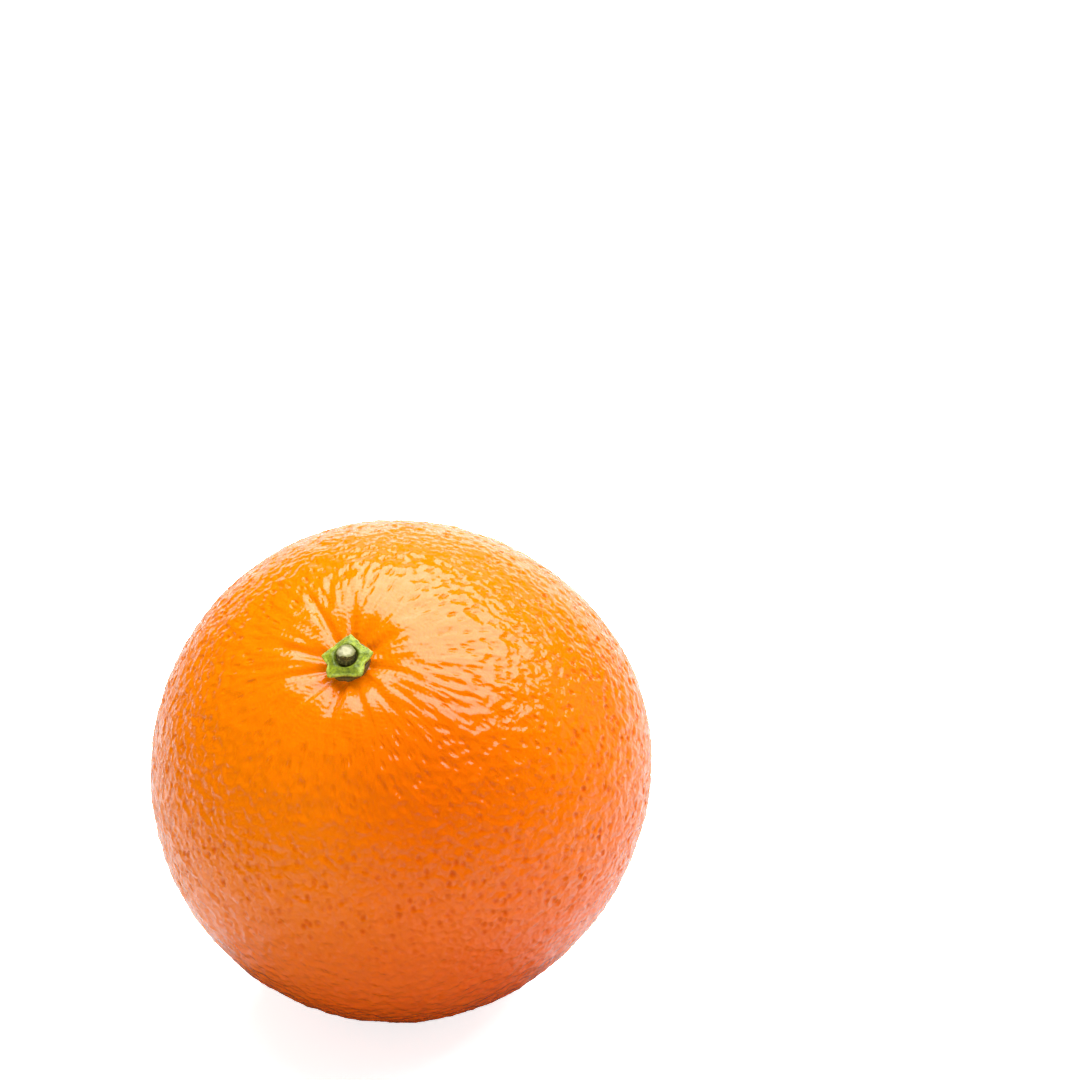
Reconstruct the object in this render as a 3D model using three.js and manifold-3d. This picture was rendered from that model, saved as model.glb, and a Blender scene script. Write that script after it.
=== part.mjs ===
// A whole orange with its calyx and the cut stub of its stalk, lying at rest on a small flat spot of its peel.
// Millimetres, +Z up. The origin is the centre of that flat spot, and the stem end leans towards -Y.
import * as THREE from "three";
import { mergeVertices } from "three/addons/utils/BufferGeometryUtils.js";
import Module from "manifold-3d";

// The body of the fruit, along and across its own stem axis, and how it lies.
const FRUIT_DIAMETER = 76;
const FRUIT_HEIGHT = 72.5;
const STEM_LEAN = THREE.MathUtils.degToRad(28);
const FLAT_SPOT_DIAMETER = 13;

// The stem end: a shallow basin with a level seat in its middle for the calyx.
const BASIN_DIAMETER = 19;
const BASIN_DEPTH = 1.75;
const SEAT_DIAMETER = 8;
const SEAT_EDGE = 1.4;

// The blossom end: a small round scar, opposite the stem.
const SCAR_DIAMETER = 5;
const SCAR_DEPTH = 0.7;

// Creases that run out from the calyx like uneven spokes.
const CREASE_COUNT = 11;
const CREASE_DEPTH = 0.95;
const FAINTEST_CREASE = 0.45;
const CREASE_STRAY = 0.6;
const CREASE_WIDTH = 1.15;
const SHORT_CREASE = 10;
const LONG_CREASE = 18;

// Pits over the oil glands, drawn larger than life, and the slow unevenness of a body that grew.
const PIT_SPACING = 6.6;
const PIT_DEPTH = 0.4;
const FAINTEST_PIT = 0.5;
const PIT_STRAY = 0.7;
const LUMP_HEIGHT = 0.35;
const LUMPS_ROUND = 3;
const LUMP_TWIST = 2;

// The calyx: a five-lobed star of sepals, dished round the stalk, on a round disc.
const SEPAL_COUNT = 5;
const CALYX_SPAN = 7.6;
const SEPAL_NOTCH = 0.72;
const SEPAL_SHARPNESS = 2.6;
const SEPAL_THICKNESS = 0.6;
const SEPAL_TURN = THREE.MathUtils.degToRad(36);
const DISC_DIAMETER = 6.6;
const DISC_THICKNESS = 0.5;
const EDGE_ROUNDING = 0.15;
const CALYX_HEIGHT = 1.7;
const SOCKET_FLOOR = 0.7;

// The stalk: a short stub that leans a little towards one bearing about the stem, and is cut off at a slant that
// falls the same way.
const STUB_DIAMETER = 2.6;
const STUB_LENGTH = 1.6;
const STUB_WAIST = 0.07;
const STUB_EDGE = 0.12;
const STUB_LEAN = THREE.MathUtils.degToRad(12);
const STUB_BEARING = THREE.MathUtils.degToRad(60);
const STUB_CUT_SLANT = THREE.MathUtils.degToRad(18);

// Clear space between neighbouring pieces.
const JOIN_GAP = 0.3;

// Mesh steps: splits of an icosahedron for the peel, drawn closer together near the stem, and turned segments.
const PEEL_SPLITS = 23;
const STEM_CROWDING = 1.35;
const CALYX_SEGMENTS = 60;
const STUB_SEGMENTS = 20;

const FRUIT_RADIUS = FRUIT_DIAMETER / 2;
const HALF_HEIGHT = FRUIT_HEIGHT / 2;
const MEAN_RADIUS = (2 * FRUIT_RADIUS + HALF_HEIGHT) / 3;
const BASIN_RADIUS = BASIN_DIAMETER / 2;
const SEAT_RADIUS = SEAT_DIAMETER / 2;
const SEAT_HEIGHT = peelHeight(SEAT_RADIUS);
const FULL_TURN = 2 * Math.PI;

const { smoothstep, lerp } = THREE.MathUtils;
const wasm = await Module();
wasm.setup();

// A repeatable number from 0 to 1 for the given item and use, so that the fruit is the same every time.
function draw(item, use) {
  const wave = Math.sin(item * 12.9898 + use * 78.233) * 43758.5453;
  return wave - Math.floor(wave);
}

// A smooth round hollow: 1 in the middle, 0 at the edge and beyond.
function hollow(share) {
  return share < 1 ? (1 - share * share) ** 2 : 0;
}

// Height of the stem half of the peel above the fruit's middle, at a distance from the stem axis.
function peelHeight(radius) {
  const dome = HALF_HEIGHT * Math.sqrt(1 - (radius / FRUIT_RADIUS) ** 2);
  return dome - BASIN_DEPTH * hollow(radius / BASIN_RADIUS);
}

// Moves every vertex of a geometry by a rule.
function reshape(geometry, rule) {
  const positions = geometry.getAttribute("position");
  const point = new THREE.Vector3();
  for (let i = 0; i < positions.count; i++) {
    rule(point.fromBufferAttribute(positions, i));
    positions.setXYZ(i, point.x, point.y, point.z);
  }
  return geometry;
}

// A body of revolution about Z, from [radius, height] points that run upwards from axis to axis.
function revolve(profile, segments) {
  const points = profile.map(([radius, height]) => new THREE.Vector2(radius, height));
  return merged(new THREE.LatheGeometry(points, segments).rotateX(Math.PI / 2));
}

// The same geometry with its corners shared between neighbouring faces.
function merged(geometry) {
  geometry.deleteAttribute("normal");
  geometry.deleteAttribute("uv");
  return mergeVertices(geometry);
}

// A closed solid from a merged geometry, without the triangles that a lathe collapses at its poles.
function solidFrom(geometry) {
  const corners = geometry.index.array;
  const kept = [];
  for (let i = 0; i < corners.length; i += 3) {
    const [a, b, c] = corners.slice(i, i + 3);
    if (a !== b && b !== c && c !== a) kept.push(a, b, c);
  }
  const vertProperties = new Float32Array(geometry.getAttribute("position").array);
  const mesh = new wasm.Mesh({ numProp: 3, vertProperties, triVerts: new Uint32Array(kept) });
  return new wasm.Manifold(mesh);
}

function geometryFrom(solid) {
  const mesh = solid.getMesh();
  const geometry = new THREE.BufferGeometry();
  geometry.setAttribute("position", new THREE.BufferAttribute(mesh.vertProperties, 3));
  geometry.setIndex(new THREE.BufferAttribute(mesh.triVerts, 1));
  geometry.computeVertexNormals();
  return geometry;
}

function pieceOf(name, solid, look) {
  const piece = new THREE.Mesh(geometryFrom(solid), new THREE.MeshStandardMaterial(look));
  piece.name = name;
  return piece;
}

// The plain peel, before its relief: a point of it for each direction from the fruit's middle.
function peelPoint(direction) {
  const angle = Math.PI * (Math.acos(THREE.MathUtils.clamp(direction.z, -1, 1)) / Math.PI) ** STEM_CROWDING;
  const bearing = Math.atan2(direction.y, direction.x);
  const radius = FRUIT_RADIUS * Math.sin(angle);
  const scar = SCAR_DEPTH * hollow(radius / (SCAR_DIAMETER / 2));
  const inStemHalf = angle < Math.PI / 2;
  const height = inStemHalf ? peelHeight(Math.max(radius, SEAT_RADIUS)) : HALF_HEIGHT * Math.cos(angle) + scar;
  return direction.set(radius * Math.cos(bearing), radius * Math.sin(bearing), height);
}

// How far a point of the peel is clear of the level seat: 0 on it, 1 a little way out.
function clearOfSeat(point) {
  const radius = Math.hypot(point.x, point.y);
  return point.z < 0 ? 1 : smoothstep(radius, SEAT_RADIUS, SEAT_RADIUS + SEAT_EDGE);
}

// The spokes: each has its own bearing round the stem, reach and depth.
function layCreases() {
  return Array.from({ length: CREASE_COUNT }, (_, i) => ({
    bearing: ((i + CREASE_STRAY * draw(i, 1)) / CREASE_COUNT) * FULL_TURN,
    reach: lerp(SHORT_CREASE, LONG_CREASE, draw(i, 2)),
    depth: CREASE_DEPTH * lerp(FAINTEST_CREASE, 1, draw(i, 3)),
  }));
}

function creaseDepth(point, creases) {
  const radius = Math.hypot(point.x, point.y);
  if (point.z < 0 || radius > LONG_CREASE) return 0;
  const bearing = Math.atan2(point.y, point.x);
  let depth = 0;
  for (const crease of creases) {
    const turn = bearing - crease.bearing;
    if (Math.cos(turn) < 0) continue;
    const aside = (radius * Math.sin(turn)) / CREASE_WIDTH;
    const across = Math.exp(-aside * aside);
    const along = 1 - smoothstep(radius, SEAT_RADIUS, crease.reach);
    depth += crease.depth * across * along;
  }
  return depth;
}

// Pits spread evenly over the peel on a spiral of golden-angle steps, each nudged out of line.
function layPits() {
  const count = Math.round((2 * FULL_TURN * MEAN_RADIUS ** 2) / PIT_SPACING ** 2);
  const goldenAngle = Math.PI * (3 - Math.sqrt(5));
  const nudge = (PIT_STRAY * PIT_SPACING) / MEAN_RADIUS;
  return Array.from({ length: count }, (_, i) => {
    const height = 1 - (2 * i + 1) / count;
    const ring = Math.sqrt(1 - height * height);
    const bearing = i * goldenAngle;
    const middle = new THREE.Vector3(ring * Math.cos(bearing), ring * Math.sin(bearing), height);
    const aside = new THREE.Vector3(draw(i, 4) - 0.5, draw(i, 5) - 0.5, draw(i, 6) - 0.5);
    middle.addScaledVector(aside, nudge).normalize();
    return { middle, depth: PIT_DEPTH * lerp(FAINTEST_PIT, 1, draw(i, 7)) };
  });
}

function pitDepth(outward, pits) {
  let depth = 0;
  for (const pit of pits) {
    const distance = MEAN_RADIUS * outward.distanceTo(pit.middle);
    depth = Math.max(depth, pit.depth * hollow(distance / (PIT_SPACING / 2)));
  }
  return depth;
}

// Broad swellings that keep the body from being a perfect solid of revolution.
function swelling(outward) {
  const bearing = Math.atan2(outward.y, outward.x);
  return LUMP_HEIGHT * Math.sin(LUMPS_ROUND * bearing + LUMP_TWIST * outward.z) * (1 - outward.z ** 2);
}

// How the fruit lies: leaned over about X, then moved so that its lowest point sinks by the flat spot's depth.
function layingDown() {
  const acrossReach = FRUIT_RADIUS * Math.sin(STEM_LEAN);
  const alongReach = HALF_HEIGHT * Math.cos(STEM_LEAN);
  const reachDown = Math.hypot(acrossReach, alongReach);
  const flattening = FRUIT_RADIUS ** 2 - HALF_HEIGHT ** 2;
  const footOffset = (flattening * Math.sin(STEM_LEAN) * Math.cos(STEM_LEAN)) / reachDown;
  const flatDepth = (FLAT_SPOT_DIAMETER / 2) ** 2 / (2 * MEAN_RADIUS);
  return { footOffset, middleHeight: reachDown - flatDepth };
}

// Everything above the surface that the fruit lies on.
function aboveFloor() {
  const room = 3 * FRUIT_DIAMETER;
  return solidFrom(merged(new THREE.BoxGeometry(room, room, room).translate(0, 0, room / 2)));
}

function makeFruit(lying) {
  const creases = layCreases();
  const pits = layPits();
  const outward = new THREE.Vector3();
  const body = reshape(merged(new THREE.IcosahedronGeometry(1, PEEL_SPLITS)), (point) => {
    peelPoint(point);
    outward.copy(point).normalize();
    const relief = swelling(outward) - pitDepth(outward, pits) - creaseDepth(point, creases);
    point.addScaledVector(outward, clearOfSeat(point) * relief);
  });
  body.applyMatrix4(lying);
  return pieceOf("fruit", solidFrom(body).intersect(aboveFloor()), {
    color: 0xf27c0c,
    roughness: 0.38,
    metalness: 0,
  });
}

// The calyx is turned as a round body whose sepal edge is then drawn in between the lobes.
function makeCalyx() {
  const discRadius = DISC_DIAMETER / 2;
  const tipRadius = CALYX_SPAN / 2;
  const socketRadius = STUB_DIAMETER / 2 + JOIN_GAP;
  const rimRadius = socketRadius + JOIN_GAP;
  const notchRadius = tipRadius * SEPAL_NOTCH;
  const sepalBottom = DISC_THICKNESS + EDGE_ROUNDING;
  const sepalTop = sepalBottom + SEPAL_THICKNESS;
  const profile = [
    [0, 0],
    [discRadius - EDGE_ROUNDING, 0],
    [discRadius, EDGE_ROUNDING],
    [discRadius - EDGE_ROUNDING, DISC_THICKNESS - EDGE_ROUNDING],
    [notchRadius - EDGE_ROUNDING, DISC_THICKNESS],
    [tipRadius, sepalBottom],
    [tipRadius, sepalTop],
    [lerp(rimRadius, tipRadius, 0.5), lerp(CALYX_HEIGHT, sepalTop, 0.3)],
    [rimRadius + EDGE_ROUNDING, CALYX_HEIGHT],
    [rimRadius, CALYX_HEIGHT - EDGE_ROUNDING],
    [socketRadius, SOCKET_FLOOR + JOIN_GAP],
    [socketRadius, SOCKET_FLOOR],
    [0, SOCKET_FLOOR],
  ];
  const star = reshape(revolve(profile, CALYX_SEGMENTS), (point) => {
    const radius = Math.hypot(point.x, point.y);
    const inSepals = point.z > DISC_THICKNESS && radius > rimRadius;
    if (!inSepals) return;
    const bearing = Math.atan2(point.y, point.x) - SEPAL_TURN;
    const lobe = Math.abs(Math.cos((SEPAL_COUNT / 2) * bearing)) ** SEPAL_SHARPNESS;
    const drawnIn = lerp(1, lerp(SEPAL_NOTCH, 1, lobe), smoothstep(radius, rimRadius, tipRadius));
    point.x *= drawnIn;
    point.y *= drawnIn;
  });
  return pieceOf("calyx", solidFrom(star), { color: 0x9fc02c, roughness: 0.6, metalness: 0 });
}

function makeStub() {
  const radius = STUB_DIAMETER / 2;
  const waist = STUB_LENGTH / 2;
  const profile = [
    [0, 0],
    [radius - STUB_EDGE, 0],
    [radius, STUB_EDGE],
    [radius - STUB_WAIST, waist],
    [radius, STUB_LENGTH - STUB_EDGE],
    [radius - STUB_EDGE, STUB_LENGTH],
    [0, STUB_LENGTH],
  ];
  const stub = reshape(revolve(profile, STUB_SEGMENTS), (point) => {
    const share = smoothstep(point.z, waist, STUB_LENGTH);
    point.z -= share * point.x * Math.tan(STUB_CUT_SLANT);
  });
  return pieceOf("stem_stub", solidFrom(stub), { color: 0xd3cf93, roughness: 0.75, metalness: 0 });
}

// The stem end's pieces stand on the seat, in a group that lies over as the fruit does.
const { footOffset, middleHeight } = layingDown();
const stemFrame = new THREE.Group();
stemFrame.rotation.x = STEM_LEAN;
stemFrame.position.set(0, footOffset, middleHeight);
stemFrame.updateMatrix();

const calyx = makeCalyx();
calyx.position.z = SEAT_HEIGHT + JOIN_GAP;
const stub = makeStub();
const lowSide = (STUB_DIAMETER / 2) * Math.sin(STUB_LEAN);
stub.position.z = calyx.position.z + SOCKET_FLOOR + JOIN_GAP + lowSide;
stub.rotation.set(0, STUB_LEAN, STUB_BEARING, "ZYX");
stemFrame.add(calyx, stub);

const orange = new THREE.Group();
orange.add(makeFruit(stemFrame.matrix), stemFrame);

export default orange;
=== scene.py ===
# %% [markdown]
# # A whole orange, with its green calyx and a cut stub of stalk
# The fruit lies on a small flat spot of its peel and leans its stem end towards the viewer. The solids of
# the part are loaded first, as a frame that is never moved. Three finer pieces are then made around them,
# each in the place of one solid: the peel, the calyx and the stub. All lengths are metres, with Z up.

# %% Load the frame
import math

import bpy
from mathutils import Euler, Matrix, Vector, noise


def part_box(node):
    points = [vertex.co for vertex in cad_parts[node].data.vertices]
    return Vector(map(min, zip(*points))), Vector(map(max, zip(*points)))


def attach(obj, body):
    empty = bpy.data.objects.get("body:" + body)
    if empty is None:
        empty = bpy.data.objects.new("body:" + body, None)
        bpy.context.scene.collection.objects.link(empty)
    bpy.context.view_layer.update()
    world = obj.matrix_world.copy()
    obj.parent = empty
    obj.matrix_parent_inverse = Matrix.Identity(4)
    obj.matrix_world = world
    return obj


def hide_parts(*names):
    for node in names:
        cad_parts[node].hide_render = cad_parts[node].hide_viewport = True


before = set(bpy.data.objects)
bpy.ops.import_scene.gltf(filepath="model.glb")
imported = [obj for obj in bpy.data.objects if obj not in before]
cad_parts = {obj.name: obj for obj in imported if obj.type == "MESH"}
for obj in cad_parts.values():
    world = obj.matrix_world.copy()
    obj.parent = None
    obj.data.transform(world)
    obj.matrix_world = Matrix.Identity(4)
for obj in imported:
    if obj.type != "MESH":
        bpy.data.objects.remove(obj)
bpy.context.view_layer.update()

print("solids:", sorted(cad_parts))

# %% [markdown]
# ## Writing node trees as sums
# Blender's shader and geometry trees are made of many small Math nodes. Placing each by hand hides the
# formula, so a small class wraps an output socket and lets Python's own operators add those nodes. The
# same class serves the peel's shape and its finish, which keeps the pits of both in the same places.

# %% A socket that can be added and multiplied, and the tree it belongs to
class Wire:
    """An output socket of a node tree, used in sums as if it were a number."""

    def __init__(self, graph, socket):
        self.graph = graph
        self.socket = socket

    def math(self, operation, *others):
        return self.graph.math(operation, self, *others)

    def __add__(self, other):
        return self.math("ADD", other)

    def __sub__(self, other):
        return self.math("SUBTRACT", other)

    def __rsub__(self, other):
        return self.graph.math("SUBTRACT", other, self)

    def __mul__(self, other):
        return self.math("MULTIPLY", other)

    def __truediv__(self, other):
        return self.math("DIVIDE", other)

    def __pow__(self, other):
        return self.math("POWER", other)

    __radd__ = __add__
    __rmul__ = __mul__

    def step(self, start, end):
        """Rises smoothly from 0 at start to 1 at end."""
        ramp = {"From Min": start, "From Max": end, "Value": self}
        return self.graph.node("ShaderNodeMapRange", {"interpolation_type": "SMOOTHSTEP"}, ramp)

    def parts(self):
        """The X, Y and Z of a vector."""
        first = self.graph.node("ShaderNodeSeparateXYZ", sockets={0: self})
        return [Wire(self.graph, socket) for socket in first.socket.node.outputs]


class Graph:
    """A node tree to which any node is added by its type, its settings and its sockets."""

    def __init__(self, tree):
        self.tree = tree

    def node(self, kind, settings=None, sockets=None, output=0):
        made = self.tree.nodes.new(kind)
        for name, value in (settings or {}).items():
            setattr(made, name, value)
        for key, value in (sockets or {}).items():
            if isinstance(value, Wire):
                self.tree.links.new(value.socket, made.inputs[key])
            else:
                made.inputs[key].default_value = value
        return Wire(self, made.outputs[output]) if made.outputs else made

    def math(self, operation, *values):
        return self.node("ShaderNodeMath", {"operation": operation}, dict(enumerate(values)))

    def vector(self, x, y, z):
        return self.node("ShaderNodeCombineXYZ", sockets={0: x, 1: y, 2: z})

    def vector_math(self, operation, *values, output=0):
        return self.node("ShaderNodeVectorMath", {"operation": operation}, dict(enumerate(values)), output)

    def scaled(self, vector, factor):
        return self.node("ShaderNodeVectorMath", {"operation": "SCALE"}, {0: vector, "Scale": factor})

    def mix(self, share, colour, other):
        """From one colour to the other."""
        return self.node("ShaderNodeMix", {"data_type": "RGBA"}, {0: share, 6: colour, 7: other}, 2)


def hollow(share):
    """A smooth round dent: 1 in the middle, 0 from a share of 1 on."""
    inside = 1 - share.math("MINIMUM", 1.0) ** 2
    return inside * inside


# %% [markdown]
# ## How the fruit lies
# The peel follows an ellipsoid that is a little lower than it is wide. It is built upright about its stem
# axis, leaned over, and sunk until its lowest point is cut by a flat spot the size of a fingertip. These
# are the same few sizes that the solids are made from, so the finer pieces land on them.

# %% Sizes of the body, and the matrix that lays it down
MM = 0.001
FRUIT_RADIUS = 38 * MM
HALF_HEIGHT = 36.25 * MM
MEAN_RADIUS = (2 * FRUIT_RADIUS + HALF_HEIGHT) / 3
STEM_LEAN = math.radians(28)
FLAT_SPOT_RADIUS = 6.5 * MM

reach_down = math.hypot(FRUIT_RADIUS * math.sin(STEM_LEAN), HALF_HEIGHT * math.cos(STEM_LEAN))
flattening = (FRUIT_RADIUS**2 - HALF_HEIGHT**2) * math.sin(STEM_LEAN) * math.cos(STEM_LEAN)
flat_depth = FLAT_SPOT_RADIUS**2 / (2 * MEAN_RADIUS)
MIDDLE = Vector((0, flattening / reach_down, reach_down - flat_depth))
LAID = Matrix.Translation(MIDDLE) @ Matrix.Rotation(STEM_LEAN, 4, "X")

solid_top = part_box("fruit")[1].z
print(f"middle of the fruit {MIDDLE.z / MM:.2f} mm up; the solid reaches {solid_top / MM:.2f} mm")

# %% [markdown]
# ## The pattern of the oil glands
# The peel is dotted with small pits, one over each oil gland. They sit where a cell pattern (Voronoi)
# comes closest to one of its points, which spaces them evenly but never in rows. Round the stem the peel
# is drawn in, and the pits there are pulled out into thin dashes. One formula gives both: the angle from
# the stem is pushed outwards near the stem before the pattern is read, so the pattern is squeezed sideways
# and stretched along the spokes.

# %% Where a point of the peel lies in the gland pattern
STREAK_ANGLE = 0.55
GLAND_SPACING = 1.45 * MM
SMALLEST_RING = 0.0001


def gland_place(graph, outward):
    """The place in the gland pattern, in gland spacings, for a direction from the fruit's middle."""
    x, y, z = outward.parts()
    angle = z.math("ARCCOSINE")
    ring = (x * x + y * y).math("SQRT").math("MAXIMUM", SMALLEST_RING)
    near_stem = (1 + z) * (0.5 * STREAK_ANGLE**2)
    pushed = (angle * angle + near_stem).math("SQRT")
    aside = pushed.math("SINE") / ring
    place = graph.vector(x * aside, y * aside, pushed.math("COSINE"))
    return graph.scaled(place, MEAN_RADIUS / GLAND_SPACING)


def gland_pits(graph, place, reach):
    """1 in the middle of a pit, 0 beyond its reach, which is a share of the gland spacing."""
    distance = graph.node(
        "ShaderNodeTexVoronoi",
        {"voronoi_dimensions": "3D", "feature": "F1"},
        {"Vector": place, "Scale": 1.0, "Randomness": 1.0},
        "Distance",
    )
    return hollow(distance / reach)


# %% [markdown]
# ## Cobbles between the glands
# Between its pits the peel is softly cobbled. Plain noise is enough for most of it, but near the stem the
# cobbles are drawn out along the spokes without getting narrower. So a few samples of one noise are taken
# in a row along the spoke and their mean is used, as if the peel had been combed.

# %% Cobbles, combed outwards near the stem
COMB_SHARES = (-1.0, -0.5, 0.0, 0.5, 1.0)
COMB_LENGTH = 1.8 * MM
COMB_END = (0.2, 0.75)
COMB_CALM = 0.42
COMB_RING = 0.06


def cobbles(graph, place, scale, detail=1.0):
    """Soft unevenness, from about -0.5 to 0.5."""
    swell = graph.node(
        "ShaderNodeTexNoise",
        {"noise_dimensions": "3D"},
        {"Vector": place, "Scale": scale, "Detail": detail, "Roughness": 0.5},
    )
    return swell - 0.5


def combed(graph, outward, size, detail=1.0):
    """Soft unevenness of a size, from about -0.5 to 0.5, drawn out along the spokes near the stem."""
    x, y, z = outward.parts()
    ring = (x * x + y * y).math("SQRT").math("MAXIMUM", COMB_RING)
    drawn = 1 - z.math("ARCCOSINE").step(*COMB_END)
    total = 0
    for share in COMB_SHARES:
        stretch = drawn * (share * COMB_LENGTH / MEAN_RADIUS) / ring + 1
        place = graph.vector_math("NORMALIZE", graph.vector(x * stretch, y * stretch, z))
        total = cobbles(graph, place, MEAN_RADIUS / size, detail) + total
    alike = 1 / len(COMB_SHARES)
    return total * (drawn * (COMB_CALM - alike) + alike)


# %% [markdown]
# ## The peel
# A peel could be a sphere with a bump map, but then its outline would be a perfect circle and an exported
# mesh would be bald. Here a Geometry Nodes tree makes it by rule: a cube of many small squares is blown up
# to a ball, the ball takes the fruit's profile with its basin at the stem and its scar at the other end,
# and then swellings, creases and pits move each point along its own direction. The cube gives squares of
# nearly one size everywhere, which a globe of rings and slices would crowd at its poles.

# %% Named inputs of the peel's tree
PEEL_SIZES = {
    "Fruit Radius": FRUIT_RADIUS,
    "Half Height": HALF_HEIGHT,
    "Basin Radius": 9.5 * MM,
    "Basin Depth": 1.75 * MM,
    "Seat Radius": 3.2 * MM,
    "Relief Start": 2.2 * MM,
    "Relief Full": 3.4 * MM,
    "Scar Radius": 2.5 * MM,
    "Scar Depth": 0.7 * MM,
    "Crease Depth": 0.95 * MM,
    "Crease Width": 0.75 * MM,
    "Swelling Height": 0.35 * MM,
    "Roll Height": 0.4 * MM,
    "Cobble Height": 0.54 * MM,
    "Pit Depth": 0.1 * MM,
}


def new_peel_tree():
    tree = bpy.data.node_groups.new("peel shape", "GeometryNodeTree")
    for name, size in PEEL_SIZES.items():
        socket = tree.interface.new_socket(name, in_out="INPUT", socket_type="NodeSocketFloat")
        socket.default_value = size
    tree.interface.new_socket("Finish", in_out="INPUT", socket_type="NodeSocketMaterial")
    tree.interface.new_socket("Peel", in_out="OUTPUT", socket_type="NodeSocketGeometry")
    graph = Graph(tree)
    given = graph.node("NodeGroupInput").socket.node.outputs
    return graph, {socket.name: Wire(graph, socket) for socket in given}


# %% [markdown]
# ## The plain peel
# Taking the tangent of each coordinate spreads the cube's squares evenly over the ball. They are then
# drawn a little towards the stem, because the basin and its creases need more points than the smooth
# belly. Basin and scar are both one round dent, of different sizes.

# %% Ball, profile, basin and scar
SQUARES_ALONG_EDGE = 128
STEM_CROWDING = 1.12
POLE_RING = 0.000001


def ball(graph):
    """A cube of small squares and the direction of each of its points, evenly spread."""
    corners = SQUARES_ALONG_EDGE + 1
    cube = {"Size": (2, 2, 2), "Vertices X": corners, "Vertices Y": corners, "Vertices Z": corners}
    mesh = graph.node("GeometryNodeMeshCube", sockets=cube)
    place = graph.node("GeometryNodeInputPosition")
    even = [(part * (math.pi / 4)).math("TANGENT") for part in place.parts()]
    return mesh, graph.vector_math("NORMALIZE", graph.vector(*even))


def moved(graph, mesh, position=None, offset=None):
    sockets = {"Geometry": mesh}
    if position:
        sockets["Position"] = position
    if offset:
        sockets["Offset"] = offset
    return graph.node("GeometryNodeSetPosition", sockets=sockets)


def plain_peel(graph, given):
    mesh, direction = ball(graph)
    x, y, z = direction.parts()
    angle = (z.math("ARCCOSINE") / math.pi) ** STEM_CROWDING * math.pi
    ring = (x * x + y * y).math("SQRT").math("MAXIMUM", POLE_RING)
    radius = angle.math("SINE") * given["Fruit Radius"]
    level = radius.math("MAXIMUM", given["Seat Radius"])
    dome = (1 - (level / given["Fruit Radius"]) ** 2).math("SQRT") * given["Half Height"]
    stem_half = dome - hollow(level / given["Basin Radius"]) * given["Basin Depth"]
    scar = hollow(radius / given["Scar Radius"]) * given["Scar Depth"]
    blossom_half = angle.math("COSINE") * given["Half Height"] + scar
    upper = angle.math("LESS_THAN", math.pi / 2)
    height = stem_half * upper + blossom_half * (1 - upper)
    return moved(graph, mesh, graph.vector(x * radius / ring, y * radius / ring, height))


# %% [markdown]
# ## Creases round the stem
# Creases run out of the basin like spokes. Each is a straight groove, deepest beside the calyx and gone at
# its end. Even spokes would look stamped, so bearing, length and depth come from draws that are the same
# each run.

# %% Uneven spokes
CREASE_COUNT = 11
CREASE_STRAY = 0.6
FAINTEST_CREASE = 0.45
SHORT_CREASE = 10 * MM
LONG_CREASE = 18 * MM
ITEM_STRIDE = 12.9898
USE_STRIDE = 78.233
WAVE_STRETCH = 43758.5453


def draw(item, use):
    """A repeatable number from 0 to 1: what is left behind the point of a very steep wave."""
    wave = math.sin(item * ITEM_STRIDE + use * USE_STRIDE) * WAVE_STRETCH
    return wave - math.floor(wave)


def creases(graph, given, x, y, radius):
    """Depth of all the creases together, as a share of the deepest."""
    total = 0
    for item in range(CREASE_COUNT):
        bearing = (item + CREASE_STRAY * draw(item, 1)) / CREASE_COUNT * 2 * math.pi
        reach = SHORT_CREASE + (LONG_CREASE - SHORT_CREASE) * draw(item, 2)
        depth = FAINTEST_CREASE + (1 - FAINTEST_CREASE) * draw(item, 3)
        ahead = (x * math.cos(bearing) + y * math.sin(bearing)).math("GREATER_THAN", 0.0)
        aside = (y * math.cos(bearing) - x * math.sin(bearing)) / given["Crease Width"]
        across = (aside * aside * -1).math("EXPONENT")
        along = 1 - radius.step(given["Seat Radius"], reach)
        total = across * along * ahead * depth + total
    return total


# %% [markdown]
# ## The relief of the peel
# All that moves the peel in or out is added up: broad swellings, low rolls, cobbles, creases and pits. It
# fades out under the calyx, which needs a smooth seat. A displacement in the finish would look the same in
# a render, but only points that were really moved reach an exported mesh.

# %% Relief, and laying the peel down
LUMPS_ROUND = 3
LUMP_TWIST = 2
PIT_REACH = 0.45
COBBLE_SIZE = 1.4 * MM
ROLL_SIZE = 5 * MM


def peel_relief(graph, given):
    """The direction of each point from the middle, and how far it moves along it."""
    place = graph.node("GeometryNodeInputPosition")
    x, y, z = place.parts()
    radius = (x * x + y * y).math("SQRT")
    outward = graph.vector_math("NORMALIZE", place)
    rise = outward.parts()[2]
    upper = z.math("GREATER_THAN", 0.0)
    clear = 1 - upper * (1 - radius.step(given["Relief Start"], given["Relief Full"]))
    wave = (y.math("ARCTAN2", x) * LUMPS_ROUND + rise * LUMP_TWIST).math("SINE")
    swelling = wave * (1 - rise * rise) * given["Swelling Height"]
    folds = creases(graph, given, x, y, radius) * upper * given["Crease Depth"]
    glands = gland_place(graph, outward)
    pits = gland_pits(graph, glands, PIT_REACH) * given["Pit Depth"]
    uneven = combed(graph, outward, COBBLE_SIZE) * given["Cobble Height"]
    rolling = cobbles(graph, outward, MEAN_RADIUS / ROLL_SIZE) * given["Roll Height"]
    return outward, clear * (swelling + rolling + uneven - folds - pits)


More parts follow.
